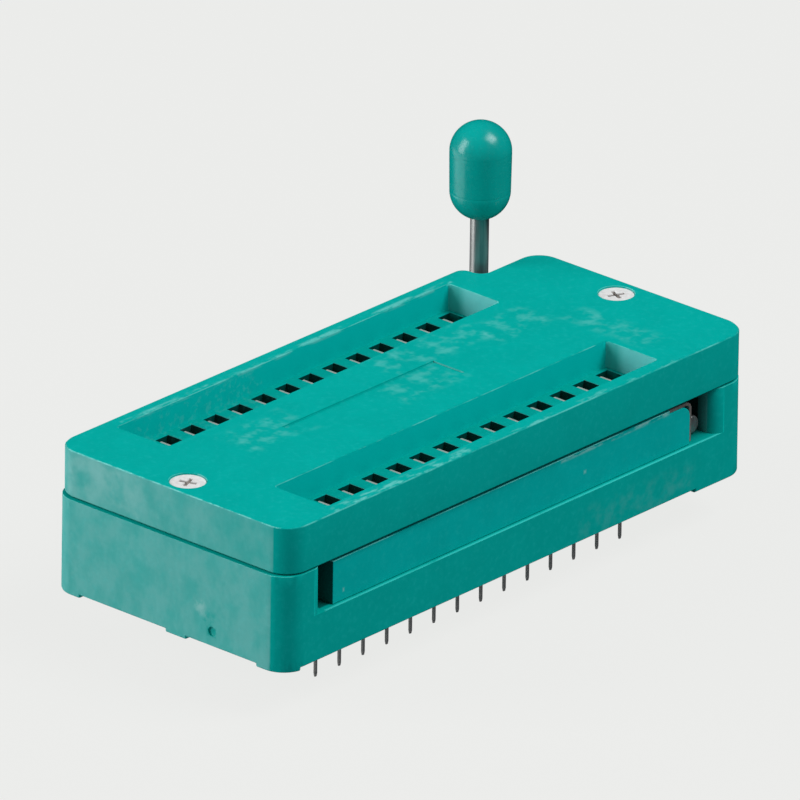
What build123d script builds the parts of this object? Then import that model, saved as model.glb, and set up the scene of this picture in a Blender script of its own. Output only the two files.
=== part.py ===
from build123d import *
import math
import os

# Lever-operated zero insertion force socket for a dual in-line package, in millimetres.
# The origin is the centre of the tail pattern, on the plane of the board that the feet stand on.
# +X runs along the two rows towards the lever, +Y towards the lever's arm, +Z up.
# The lever is modelled upright, which is the open position.

# Lead grid
PITCH = 2.54
ROW_SPACING = 15.24
WAYS_PER_ROW = 14

# Body, seen from above
TROUGH_WIDTH = 4.95
TROUGH_RIM = 1.2
TROUGH_LEFT_MARGIN = 1.79
TROUGH_RIGHT_MARGIN = 0.93
TROUGH_CORNER_RADIUS = 0.25
LEFT_BLOCK = 3.9
RIGHT_BLOCK = 3.3
JAMB_RADIUS = 1.0
JAMB_POST_WIDTH = 0.6
JAMB_POST_DEPTH = 1.7
COVER_LEFT_INSET = 0.2
CORNER_RADIUS = 1.9
RIGHT_CORNER_RADIUS = 2.2
LEVER_CORNER_RADIUS = 1.8
LEVER_STEP_DEPTH = 1.9
LEVER_STEP_BEFORE_AXIS = 1.3
STEP_OUTER_RADIUS = 0.9
STEP_INNER_RADIUS = 0.8
BASE_LIP = 0.03
BASE_DRAFT = 0.3

# Body, seen from the side
FOOT_HEIGHT = 0.25
FOOT_LENGTH = 2.8
LEFT_FOOT_DEPTH = 1.6
RIGHT_FOOT_DEPTH = 6.0
MIDDLE_FOOT_LENGTH = 2.0
MIDDLE_FOOT_PLACE = -0.8
SLAB_THICKNESS = 3.58
WINDOW_HEIGHT = 3.62
COVER_HEIGHT = 3.73
TROUGH_DEPTH = 2.1
TOP_EDGE_CHAMFER = 0.15
SEAM_CHAMFER = 0.2
RIM_CHAMFER = 0.1

# Package openings, and the plain panel between the troughs
OPENING_LENGTH = 1.35
OPENING_WIDTH = 4.2
OPENING_CHAMFER = 0.06
PANEL_CENTRE = -2.05
PANEL_LENGTH = 16.3
PANEL_WIDTH = 3.0
PANEL_DEPTH = 0.12

# Slide
SLIDE_LEFT_MARGIN = 2.02
SLIDE_RIGHT_MARGIN = 3.66
SLIDE_LEFT_GAP = 1.37
SLIDE_SETBACK = 0.3
SLIDE_HEIGHT = 3.33
SLIDE_TRAVEL = 0.6
SLIDE_CLEARANCE = 0.05
SLIDE_CORNER_RADIUS = 0.9
SLIDE_NOTCH_MARGIN = 1.3
POCKET_BEFORE = 0.8
POCKET_AFTER = 1.45
POCKET_WIDTH = 3.9
GUIDE_LENGTH = 24.0
GUIDE_WIDTH = 2.4
GUIDE_HEIGHT = 1.0
HOLD_DOWN_WIDTH = 1.0
HOLD_DOWN_SPREAD = 6.0

# Steel plate on the driven end of the slide
PLATE_THICKNESS = 0.25
PLATE_TOP_LENGTH = 2.25
PLATE_DROP = 2.95
PLATE_BEND_RADIUS = 0.35
PLATE_SEAT_DEPTH = 0.25
PLATE_END_INSET = 0.1
PEG_RADIUS = 0.4
PEG_RISE = 0.1
PEG_SPREAD = 9.0
PEG_CLEARANCE = 0.03

# Lever
ROD_RADIUS = 0.7
ROD_BEND_RADIUS = 1.6
ROD_CHAMFER = 0.15
SHAFT_HEIGHT = 0.8
SHAFT_END_INSET = 1.25
AXIS_TO_PLATE = 1.18
AXIS_TO_BLOCK = 1.6
ARM_GAP = 0.71
LEVER_SWING = 90.0
CAM_HUB_RADIUS = 1.0
CAM_CLEARANCE = 0.02
CAM_END_GAP = 0.2
CAM_OVERRUN = 4.0
CAM_BORE_CLEARANCE = 0.01
CAM_POCKET_CLEARANCE = 0.3
BEARING_LENGTH = 1.8
BEARING_INSET = 3.6
BEARING_CLEARANCE = 0.05
BEARING_LIP = 0.6
BEARING_SPLIT = 0.1
KNOB_RISE = 3.7
KNOB_LENGTH = 7.6
KNOB_RADIUS = 2.3
KNOB_ROOF = 2.6
KNOB_BORE_CLEARANCE = 0.01

# Contacts
STRIP = 0.2
TINE_SPREAD = 0.565
TINE_BULGE = 0.05
TINE_PINCH = 0.05
TINE_FLARE = 0.08
TINE_FOOT_WIDTH = 3.4
TINE_TIP_WIDTH = 3.3
FIXED_TIP_BELOW_FLOOR = 0.05
MOVING_TIP_BELOW_COVER = 0.15
PINCH_BELOW_TIP = 0.6
BRIDGE_HEIGHT = 1.6
CONTACT_CLEARANCE = 0.08
TAIL_WIDTH = 0.24
TAIL_DROP = 3.47
TAIL_POINT = 0.25
TAIL_CLEARANCE = 0.05

# Cover screws
SCREW_INSET = 2.0
SCREW_HEAD_RADIUS = 1.35
SCREW_HEAD_LAND = 0.15
SCREW_HEAD_CONE = 0.6
SCREW_SHANK_RADIUS = 0.8
SCREW_LENGTH = 7.5
SCREW_SUNK = 0.12
SCREW_CLEARANCE = 0.02
CROSS_LENGTH = 1.5
CROSS_WIDTH = 0.32
CROSS_DEPTH = 0.5

# Gate mark left by moulding on the left end of the base
GATE_RADIUS = 0.35
GATE_DEPTH = 0.08
GATE_FROM_MIDDLE = -4.3
GATE_HEIGHT = 1.4

# How far a cutter reaches past what it cuts, and an added lump into what carries it
OVERCUT = 0.5
ROOT = 0.1

# Heights
underside = FOOT_HEIGHT
deck = underside + SLAB_THICKNESS
seam = deck + WINDOW_HEIGHT
top = seam + COVER_HEIGHT
trough_floor = top - TROUGH_DEPTH
slide_bottom = deck + SLIDE_CLEARANCE
slide_top = slide_bottom + SLIDE_HEIGHT
plate_seat = slide_top - PLATE_SEAT_DEPTH
shaft_z = deck + SHAFT_HEIGHT
pocket_floor = underside + BRIDGE_HEIGHT

# Places along X
row_half = (WAYS_PER_ROW - 1) / 2 * PITCH
way_places = [way * PITCH - row_half for way in range(WAYS_PER_ROW)]
trough_left = -row_half - TROUGH_LEFT_MARGIN
trough_right = row_half + TROUGH_RIGHT_MARGIN
slide_left = -row_half - SLIDE_LEFT_MARGIN
slide_right = row_half + SLIDE_RIGHT_MARGIN
window_left = slide_left - SLIDE_LEFT_GAP
body_left = window_left - LEFT_BLOCK
plate_left = slide_right - PLATE_TOP_LENGTH
axis_x = slide_right + PLATE_THICKNESS + AXIS_TO_PLATE
window_right = axis_x + AXIS_TO_BLOCK
body_right = window_right + RIGHT_BLOCK
step_x = axis_x - LEVER_STEP_BEFORE_AXIS
notch_x = step_x - SLIDE_NOTCH_MARGIN
screw_places = [body_left + SCREW_INSET, body_right - SCREW_INSET]

# Places along Y
row_y = ROW_SPACING / 2
half_width = row_y + TROUGH_WIDTH / 2 + TROUGH_RIM
slide_half_width = half_width - SLIDE_SETBACK
step_y = half_width - LEVER_STEP_DEPTH
notch_y = step_y - SLIDE_SETBACK
arm_y = step_y + ARM_GAP + ROD_RADIUS
shaft_front = -half_width + SHAFT_END_INSET
bearing_radius = ROD_RADIUS + BEARING_CLEARANCE
front_bearing = (-half_width + BEARING_INSET, -half_width + BEARING_INSET + BEARING_LENGTH)
rear_bearing_end = arm_y - ROD_BEND_RADIUS - BEARING_CLEARANCE
rear_bearing = (rear_bearing_end - BEARING_LENGTH, rear_bearing_end)
cam_span = (front_bearing[1] + CAM_END_GAP, rear_bearing[0] - CAM_END_GAP)

# The cam's flank is an involute, so that the slide moves evenly with the lever's angle.
cam_base_radius = SLIDE_TRAVEL / math.radians(LEVER_SWING)
cam_start = AXIS_TO_PLATE - CAM_CLEARANCE
cam_tip_angle = math.radians(LEVER_SWING + CAM_OVERRUN)
cam_tip_radius = math.hypot(cam_base_radius, cam_start + cam_base_radius * cam_tip_angle)


def block(low, high):
    """Box between two opposite corners."""
    size = [b - a for a, b in zip(low, high)]
    middle = [(a + b) / 2 for a, b in zip(low, high)]
    return Pos(*middle) * Box(*size)


def cross_drum(span, radius):
    """Cylinder on the lever's axis, between two places along Y."""
    middle = Pos(axis_x, (span[0] + span[1]) / 2, shaft_z)
    return middle * Rot(X=90) * Cylinder(radius, span[1] - span[0])


def bent_strip(path, thickness, span):
    """Sheet metal strip bent along a path in the XZ plane, as wide as the span along Y."""
    profile = Plane.XZ * trace(path, thickness)
    return Pos(0, span[1], 0) * extrude(profile, amount=span[1] - span[0])


def round_corner(sketch, x, y, radius):
    """Rounds the corner of a sketch that lies nearest to a point."""
    corner = sketch.vertices().sort_by_distance(Vector(x, y, 0))[0]
    return fillet(corner, radius)


def body_outline(grow, left_inset=0):
    """Outline of the socket from above, with the step at the lever, grown outwards and cut back at the left."""
    left, right = body_left + left_inset - grow, body_right + grow
    rear = half_width + grow
    step_in, step_back = step_x + grow, step_y + grow
    whole = Pos((left + right) / 2, 0) * Rectangle(right - left, 2 * rear)
    notch = Pos((step_in + right) / 2, (step_back + rear) / 2) * Rectangle(right - step_in, rear - step_back)
    outline = whole - notch
    outline = round_corner(outline, left, -rear, CORNER_RADIUS + grow)
    outline = round_corner(outline, right, -rear, RIGHT_CORNER_RADIUS + grow)
    outline = round_corner(outline, left, rear, CORNER_RADIUS + grow)
    outline = round_corner(outline, right, step_back, LEVER_CORNER_RADIUS + grow)
    outline = round_corner(outline, step_in, rear, STEP_OUTER_RADIUS + grow)
    return round_corner(outline, step_in, step_back, STEP_INNER_RADIUS - grow)


def make_feet(outline):
    """Low pads under the corners and under the middle of each end."""
    pad = extrude(outline, amount=underside)
    left_end = (body_left - OVERCUT, body_left + LEFT_FOOT_DEPTH, half_width)
    right_end = (body_right - RIGHT_FOOT_DEPTH, body_right + OVERCUT, step_y)
    half_middle = MIDDLE_FOOT_LENGTH / 2
    feet = []
    for x_low, x_high, rear in (left_end, right_end):
        spans = [
            (-half_width - OVERCUT, -half_width + FOOT_LENGTH),
            (MIDDLE_FOOT_PLACE - half_middle, MIDDLE_FOOT_PLACE + half_middle),
            (rear - FOOT_LENGTH, rear + OVERCUT),
        ]
        for y_low, y_high in spans:
            feet.append(pad & block((x_low, y_low, 0), (x_high, y_high, underside)))
    return feet


def screw_solid(x, grow, head_top):
    """Countersunk screw turned about its own axis, grown all round for the hole that takes it."""
    head = top - SCREW_SUNK
    head_radius = SCREW_HEAD_RADIUS + grow
    shank_radius = SCREW_SHANK_RADIUS + grow
    cone_top = head - SCREW_HEAD_LAND - grow
    cone_low = cone_top - SCREW_HEAD_CONE
    tip = head - SCREW_LENGTH - grow
    half_profile = Polyline(
        (0, head_top),
        (head_radius, head_top),
        (head_radius, cone_top),
        (shank_radius, cone_low),
        (shank_radius, tip),
        (0, tip),
        close=True,
    )
    return Pos(x, 0, 0) * revolve(Plane.XZ * make_face(half_profile), Axis.Z)


def make_base():
    """Base moulding: slab with contact pockets, two end blocks, shaft bearings and slide guide."""
    draft_growth = (seam - underside) * math.tan(math.radians(BASE_DRAFT))
    foot_outline = body_outline(BASE_LIP + draft_growth)
    base = extrude(Pos(0, 0, underside) * foot_outline, amount=seam - underside, taper=BASE_DRAFT)
    reach = half_width + OVERCUT
    post_x = window_right - JAMB_POST_WIDTH
    window = block((window_left, -reach, deck), (window_right, reach, seam + OVERCUT))
    window -= block((post_x, -2 * reach, underside), (body_right, -half_width + JAMB_POST_DEPTH, top))
    base -= window
    jambs = [(window_left, -half_width), (window_left, half_width), (post_x, -half_width), (window_right, step_y)]
    mouth_edges = [base.edges().sort_by_distance((x, y, (deck + seam) / 2))[0] for x, y in jambs]
    base = fillet(mouth_edges, JAMB_RADIUS)
    base += make_feet(foot_outline)
    half_guide = GUIDE_LENGTH / 2
    base += block((-half_guide, -GUIDE_WIDTH / 2, deck - ROOT), (half_guide, GUIDE_WIDTH / 2, deck + GUIDE_HEIGHT))
    for low, high in (front_bearing, rear_bearing):
        base += block((axis_x - BEARING_LIP, low, deck - ROOT), (window_right + ROOT, high, shaft_z))
        base -= cross_drum((low - ROOT, high + ROOT), bearing_radius)
    cutters = []
    pocket_half = TINE_SPREAD + TINE_BULGE + STRIP / 2 + CONTACT_CLEARANCE
    pocket_reach = TINE_FOOT_WIDTH / 2 + CONTACT_CLEARANCE
    slot_half = STRIP / 2 + TAIL_CLEARANCE
    slot_reach = TAIL_WIDTH / 2 + TAIL_CLEARANCE
    for y in (-row_y, row_y):
        for x in way_places:
            low = (x - pocket_half, y - pocket_reach, pocket_floor)
            cutters.append(block(low, (x + pocket_half, y + pocket_reach, deck + OVERCUT)))
            low = (x - slot_half, y - slot_reach, -OVERCUT)
            cutters.append(block(low, (x + slot_half, y + slot_reach, pocket_floor + ROOT)))
    cam_room = cam_tip_radius + CAM_POCKET_CLEARANCE
    low = (axis_x - cam_room, cam_span[0] - ROOT, min(deck, shaft_z - cam_room))
    cutters.append(block(low, (window_right, cam_span[1] + ROOT, deck + ROOT)))
    for x in screw_places:
        cutters.append(screw_solid(x, SCREW_CLEARANCE, top + OVERCUT))
    gate = Pos(body_left, GATE_FROM_MIDDLE, GATE_HEIGHT) * Rot(Y=90)
    cutters.append(gate * Cylinder(GATE_RADIUS, 2 * GATE_DEPTH))
    return base - cutters


def make_cover():
    """Cover moulding: two package troughs with their openings, screw seats, bearing caps and hold-downs."""
    cover = extrude(Pos(0, 0, seam) * body_outline(0, COVER_LEFT_INSET), amount=COVER_HEIGHT)
    cover = chamfer(cover.faces().sort_by(Axis.Z)[-1].edges(), TOP_EDGE_CHAMFER)
    cover = chamfer(cover.faces().sort_by(Axis.Z)[0].edges(), SEAM_CHAMFER)
    trough_length = trough_right - trough_left
    trough_middle = (trough_left + trough_right) / 2
    floor_outline = RectangleRounded(trough_length, TROUGH_WIDTH, TROUGH_CORNER_RADIUS)
    cutters = []
    for y in (-row_y, row_y):
        trough = extrude(Pos(trough_middle, y, trough_floor) * floor_outline, amount=TROUGH_DEPTH + OVERCUT)
        cutters.append(trough)
    panel = Pos(PANEL_CENTRE, 0, top) * Box(PANEL_LENGTH, PANEL_WIDTH, 2 * PANEL_DEPTH)
    cover -= cutters
    rims = [
        edge
        for edge in cover.edges()
        if abs(edge.center().Z - top) < RIM_CHAMFER / 2
        and trough_left - ROOT < edge.center().X < trough_right + ROOT
        and abs(abs(edge.center().Y) - row_y) < TROUGH_WIDTH / 2 + ROOT
    ]
    cover = chamfer(rims, RIM_CHAMFER)
    mouth = Rectangle(OPENING_LENGTH + 2 * OPENING_CHAMFER, OPENING_WIDTH + 2 * OPENING_CHAMFER)
    cutters = [panel]
    for y in (-row_y, row_y):
        for x in way_places:
            floor_height = trough_floor - seam
            shaft = Pos(x, y, seam + floor_height / 2) * Box(OPENING_LENGTH, OPENING_WIDTH, floor_height + ROOT)
            lead_in = extrude(Pos(x, y, trough_floor) * mouth, amount=-OPENING_CHAMFER, taper=45)
            cutters.append(shaft)
            cutters.append(lead_in)
    for x in screw_places:
        cutters.append(screw_solid(x, SCREW_CLEARANCE, top + OVERCUT))
    cover -= cutters
    half_guide = GUIDE_LENGTH / 2
    for y in (-HOLD_DOWN_SPREAD / 2, HOLD_DOWN_SPREAD / 2):
        low = (-half_guide, y - HOLD_DOWN_WIDTH / 2, slide_top + SLIDE_CLEARANCE)
        cover += block(low, (half_guide, y + HOLD_DOWN_WIDTH / 2, seam + ROOT))
    for start, end in (front_bearing, rear_bearing):
        low = (axis_x - BEARING_LIP, start, shaft_z + BEARING_SPLIT)
        cap = block(low, (window_right - BEARING_SPLIT, end, seam + ROOT))
        cover += cap - cross_drum((start - ROOT, end + ROOT), bearing_radius)
    return cover


def make_slide():
    """Comb slide: a plate with one pocket for each contact, driven from its right end."""
    slide = block((slide_left, -slide_half_width, slide_bottom), (slide_right, slide_half_width, slide_top))
    slide -= block((notch_x, notch_y, deck), (slide_right + OVERCUT, half_width, seam))
    slide -= block((plate_left, -half_width, plate_seat), (slide_right + OVERCUT, half_width, seam))
    driven_edge = slide.edges().filter_by(Axis.Y).sort_by_distance((slide_right, 0, plate_seat))[0]
    slide = fillet(driven_edge, SLIDE_CORNER_RADIUS)
    cutters = []
    for y in (-row_y, row_y):
        for x in way_places:
            low = (x - POCKET_BEFORE, y - POCKET_WIDTH / 2, deck)
            cutters.append(block(low, (x + POCKET_AFTER, y + POCKET_WIDTH / 2, seam)))
    groove_half = GUIDE_LENGTH / 2 + SLIDE_TRAVEL + SLIDE_CLEARANCE
    groove_reach = GUIDE_WIDTH / 2 + SLIDE_CLEARANCE
    groove_top = deck + GUIDE_HEIGHT + SLIDE_CLEARANCE
    cutters.append(block((-groove_half, -groove_reach, deck - ROOT), (groove_half, groove_reach, groove_top)))
    slide -= cutters
    for x, y in peg_places():
        peg_top = plate_seat + PLATE_THICKNESS + PEG_RISE
        slide += Pos(x, y, (peg_top + slide_bottom) / 2) * Cylinder(PEG_RADIUS, peg_top - slide_bottom)
    return slide


def peg_places():
    """Places of the two pegs that hold the plate on the slide."""
    x = (plate_left + slide_right - SLIDE_CORNER_RADIUS) / 2
    return [(x, -PEG_SPREAD / 2), (x, PEG_SPREAD / 2)]


def make_plate():
    """Steel plate bent over the driven end of the slide, which the cam pushes."""
    outer = slide_right + PLATE_THICKNESS / 2
    upper = plate_seat + PLATE_THICKNESS / 2
    bend = PLATE_BEND_RADIUS + PLATE_THICKNESS / 2
    path = FilletPolyline((plate_left, upper), (outer, upper), (outer, plate_seat - PLATE_DROP), radius=bend)
    span = (-slide_half_width + PLATE_END_INSET, notch_y - PLATE_END_INSET)
    plate = bent_strip(path, PLATE_THICKNESS, span)
    for x, y in peg_places():
        plate -= Pos(x, y, upper) * Cylinder(PEG_RADIUS + PEG_CLEARANCE, 2 * PLATE_THICKNESS)
    return plate


def make_rod():
    """Steel rod bent at a right angle: a shaft across the socket and an upright arm."""
    arm_top = top + KNOB_RISE + KNOB_LENGTH - KNOB_ROOF
    path = FilletPolyline(
        (axis_x, shaft_front, shaft_z),
        (axis_x, arm_y, shaft_z),
        (axis_x, arm_y, arm_top),
        radius=ROD_BEND_RADIUS,
    )
    section = Plane(path @ 0, z_dir=path % 0) * Circle(ROD_RADIUS)
    rod = sweep(section, path)
    front_face = rod.faces().sort_by(Axis.Y)[0]
    return chamfer(front_face.edges(), ROD_CHAMFER)


def cam_point(turn):
    """Point of the cam's flank that meets the plate when the lever has turned by an angle."""
    reach = cam_start + cam_base_radius * turn
    x = -reach * math.cos(turn) + cam_base_radius * math.sin(turn)
    z = -reach * math.sin(turn) - cam_base_radius * math.cos(turn)
    return (x, z)


def make_cam():
    """Cam pressed on the shaft: a round hub with an involute lobe that points down when open."""
    hub_reach = math.sqrt(max(CAM_HUB_RADIUS**2 - cam_base_radius**2, 0))
    first_turn = (hub_reach - cam_start) / cam_base_radius
    steps = 8
    turns = [first_turn + (cam_tip_angle - first_turn) * step / steps for step in range(steps + 1)]
    tip = cam_point(cam_tip_angle)
    tangent_angle = math.atan2(tip[1], tip[0]) + math.acos(CAM_HUB_RADIUS / cam_tip_radius)
    tangent = (CAM_HUB_RADIUS * math.cos(tangent_angle), CAM_HUB_RADIUS * math.sin(tangent_angle))
    flank = Spline(*[cam_point(turn) for turn in turns])
    lobe = make_face(flank + Polyline(tip, tangent, (0, 0), cam_point(first_turn)))
    profile = lobe + Circle(CAM_HUB_RADIUS) - Circle(ROD_RADIUS + CAM_BORE_CLEARANCE)
    solid = extrude(Plane.XZ * profile, amount=cam_span[1] - cam_span[0])
    return Pos(axis_x, cam_span[1], shaft_z) * solid


def make_knob():
    """Capsule-shaped knob moulded on the end of the arm."""
    low = top + KNOB_RISE
    high = low + KNOB_LENGTH
    lower_centre = low + KNOB_RADIUS
    upper_centre = high - KNOB_RADIUS
    lower_dome = CenterArc((0, lower_centre), KNOB_RADIUS, -90, 90)
    upper_dome = CenterArc((0, upper_centre), KNOB_RADIUS, 0, 90)
    flank = Line((KNOB_RADIUS, lower_centre), (KNOB_RADIUS, upper_centre))
    half_profile = lower_dome + flank + upper_dome + Line((0, high), (0, low))
    knob = revolve(Plane.XZ * make_face(half_profile), Axis.Z)
    bore_top = high - KNOB_ROOF
    bore = Pos(0, 0, (low - OVERCUT + bore_top) / 2) * Cylinder(
        ROD_RADIUS + KNOB_BORE_CLEARANCE, bore_top - low + OVERCUT
    )
    return Pos(axis_x, arm_y, 0) * (knob - bore)


def make_screws():
    """The two flush screws, with a cross recess, that hold the cover on the base."""
    screws = []
    head = top - SCREW_SUNK
    for x in screw_places:
        cross = Pos(x, 0, head) * (
            Box(CROSS_LENGTH, CROSS_WIDTH, 2 * CROSS_DEPTH) + Box(CROSS_WIDTH, CROSS_LENGTH, 2 * CROSS_DEPTH)
        )
        screws.append(screw_solid(x, 0, head) - cross)
    return Compound(children=screws)


def make_contact(x, y):
    """Contact: a strip bent to a fork, its fixed tine, its moving tine and its tail."""
    bridge = pocket_floor + STRIP / 2
    moving_tip = seam - MOVING_TIP_BELOW_COVER
    fixed_tip = trough_floor - FIXED_TIP_BELOW_FLOOR
    path = Polyline(
        (-TINE_SPREAD, fixed_tip),
        (-TINE_SPREAD, bridge),
        (TINE_SPREAD, bridge),
        (TINE_SPREAD + TINE_BULGE, (deck + slide_top) / 2),
        (TINE_SPREAD - TINE_PINCH, moving_tip - PINCH_BELOW_TIP),
        (TINE_SPREAD + TINE_FLARE, moving_tip),
    )
    half_foot = TINE_FOOT_WIDTH / 2
    half_tip = TINE_TIP_WIDTH / 2
    fork = bent_strip(path, STRIP, (-half_foot, half_foot))
    front = Polyline(
        (-half_foot, pocket_floor - ROOT),
        (half_foot, pocket_floor - ROOT),
        (half_foot, deck),
        (half_tip, fixed_tip + ROOT),
        (-half_tip, fixed_tip + ROOT),
        (-half_foot, deck),
        close=True,
    )
    fork &= extrude(Plane.YZ * make_face(front), amount=2 * TINE_SPREAD, both=True)
    tail_outline = Polyline(
        (-TAIL_WIDTH / 2, bridge),
        (-TAIL_WIDTH / 2, TAIL_POINT - TAIL_DROP),
        (-TAIL_WIDTH / 4, -TAIL_DROP),
        (TAIL_WIDTH / 4, -TAIL_DROP),
        (TAIL_WIDTH / 2, TAIL_POINT - TAIL_DROP),
        (TAIL_WIDTH / 2, bridge),
        close=True,
    )
    tail = extrude(Plane.YZ * make_face(tail_outline), amount=STRIP / 2, both=True)
    return Pos(x, y, 0) * (fork + tail)


def main():
    """Builds every piece and writes one file for each."""
    pieces = {
        "base": make_base(),
        "cover": make_cover(),
        "slide": make_slide(),
        "drive_plate": make_plate(),
        "lever_rod": make_rod(),
        "lever_cam": make_cam(),
        "lever_knob": make_knob(),
        "cover_screws": make_screws(),
    }
    for row, y in (("front", -row_y), ("rear", row_y)):
        for way, x in enumerate(way_places, start=1):
            pieces[f"contact_{row}_{way:02d}"] = make_contact(x, y)
    os.makedirs("parts", exist_ok=True)
    for name, piece in pieces.items():
        export_step(piece, f"parts/{name}.step")


main()
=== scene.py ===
import logging
import math
from collections.abc import Callable
from dataclasses import dataclass
from enum import Enum

import bmesh
import bpy
import numpy as np
from mathutils import Matrix, Vector


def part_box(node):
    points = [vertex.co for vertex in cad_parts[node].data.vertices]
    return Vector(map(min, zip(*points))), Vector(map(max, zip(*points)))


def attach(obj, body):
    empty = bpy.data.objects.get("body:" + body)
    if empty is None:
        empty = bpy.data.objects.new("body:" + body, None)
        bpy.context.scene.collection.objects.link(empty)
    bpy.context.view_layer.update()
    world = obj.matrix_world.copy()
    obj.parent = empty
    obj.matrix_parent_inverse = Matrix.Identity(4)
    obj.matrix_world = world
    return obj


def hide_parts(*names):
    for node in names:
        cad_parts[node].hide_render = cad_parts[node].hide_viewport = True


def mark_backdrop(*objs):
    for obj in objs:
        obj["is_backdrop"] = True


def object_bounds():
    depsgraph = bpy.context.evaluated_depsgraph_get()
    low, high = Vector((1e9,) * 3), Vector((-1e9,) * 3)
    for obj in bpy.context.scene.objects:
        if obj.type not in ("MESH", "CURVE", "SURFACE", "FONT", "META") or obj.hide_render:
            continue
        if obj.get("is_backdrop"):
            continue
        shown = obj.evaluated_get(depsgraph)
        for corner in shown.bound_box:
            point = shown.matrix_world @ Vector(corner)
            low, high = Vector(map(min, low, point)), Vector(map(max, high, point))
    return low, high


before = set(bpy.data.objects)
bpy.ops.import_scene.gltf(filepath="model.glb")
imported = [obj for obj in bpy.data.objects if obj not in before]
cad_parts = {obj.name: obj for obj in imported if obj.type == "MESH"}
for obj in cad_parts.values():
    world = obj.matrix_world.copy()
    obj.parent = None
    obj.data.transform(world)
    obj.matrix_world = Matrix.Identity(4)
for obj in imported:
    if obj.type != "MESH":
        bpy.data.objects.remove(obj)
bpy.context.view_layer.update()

# Looks of a lever-operated zero insertion force socket: moulded green body, steel lever, plated contacts.
# Sizes below are in millimetres. Every mesh is built in metres, in the frame of the CAD model.

Colour = tuple[float, float, float]
Place = tuple[float, float, float]
Span = tuple[float, float]
EdgeWidths = Callable[[np.ndarray], np.ndarray]
Socket = bpy.types.NodeSocket

LOG = logging.getLogger("socket")
# Metres in a millimetre.
MM = 0.001
# Points that lie nearer to each other than this are one point.
MERGE_MM = 0.0005
# A bend below the first angle counts as flat, and an edge above the second one as sharp.
FLAT_ANGLE = math.radians(0.5)
SHARP_ANGLE = math.radians(50.0)
# Strips across a rounded edge.
EDGE_SEGMENTS = 2
# Weight at which the largest face at a point gives its normal.
LARGEST_FACE_ONLY = 100
# Places of the two colours and of the result on a colour mix node.
MIX_COLOURS = (6, 7)
MIX_RESULT = 2
# Beyond every point of the part.
FAR = 99.0

# Directions of faces in the CAD frame.
UP: Place = (0.0, 0.0, 1.0)
DOWN: Place = (0.0, 0.0, -1.0)
FRONT: Place = (0.0, -1.0, 0.0)
LEFT: Place = (-1.0, 0.0, 0.0)
# Level direction of the faces with a painted sheen, and the cosines to it between which the sheen sets in.
SHEEN_SIDE: Place = (-0.927, 0.375, 0.0)
SHEEN_STEPS: Span = (0.81, 0.857)
# Side of the rod that has a painted highlight, and side of the screws' heads that has painted shade.
ROD_HIGHLIGHT_SIDE: Place = (-0.92, 0.38, 0.0)
HEAD_SHADE_SIDE: Place = (0.95, 0.3, 0.0)
# Upright parts of the normal where faces stop being level, where edges start and where they end.
UPRIGHT_STEPS: Span = (0.85, 0.7)
EDGE_START_STEPS: Span = (0.15, 0.45)
EDGE_END_STEPS: Span = (0.97, 0.8)


class Slot(Enum):
    """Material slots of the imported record."""

    BODY = "moulded_body"
    SLIDE = "moulded_slide"
    KNOB = "knob_plastic"
    LEVER = "lever_steel"
    PLATE = "plate_steel"
    SCREW = "screw_steel"
    CONTACT = "contact_metal"


class Body(Enum):
    """CAD bodies that the pieces ride on."""

    HOUSING = "housing"
    LEVER = "lever"
    SLIDER = "slider"


class Coordinates(Enum):
    """Where a pattern takes its place from."""

    OBJECT = "Object"
    UV = "UV"


@dataclass(frozen=True)
class Clouds:
    """A cloudy pattern: clouds in a millimetre, octaves of finer clouds, and the strength of those."""

    per_mm: float
    detail: float = 3.0
    roughness: float = 0.55


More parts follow.
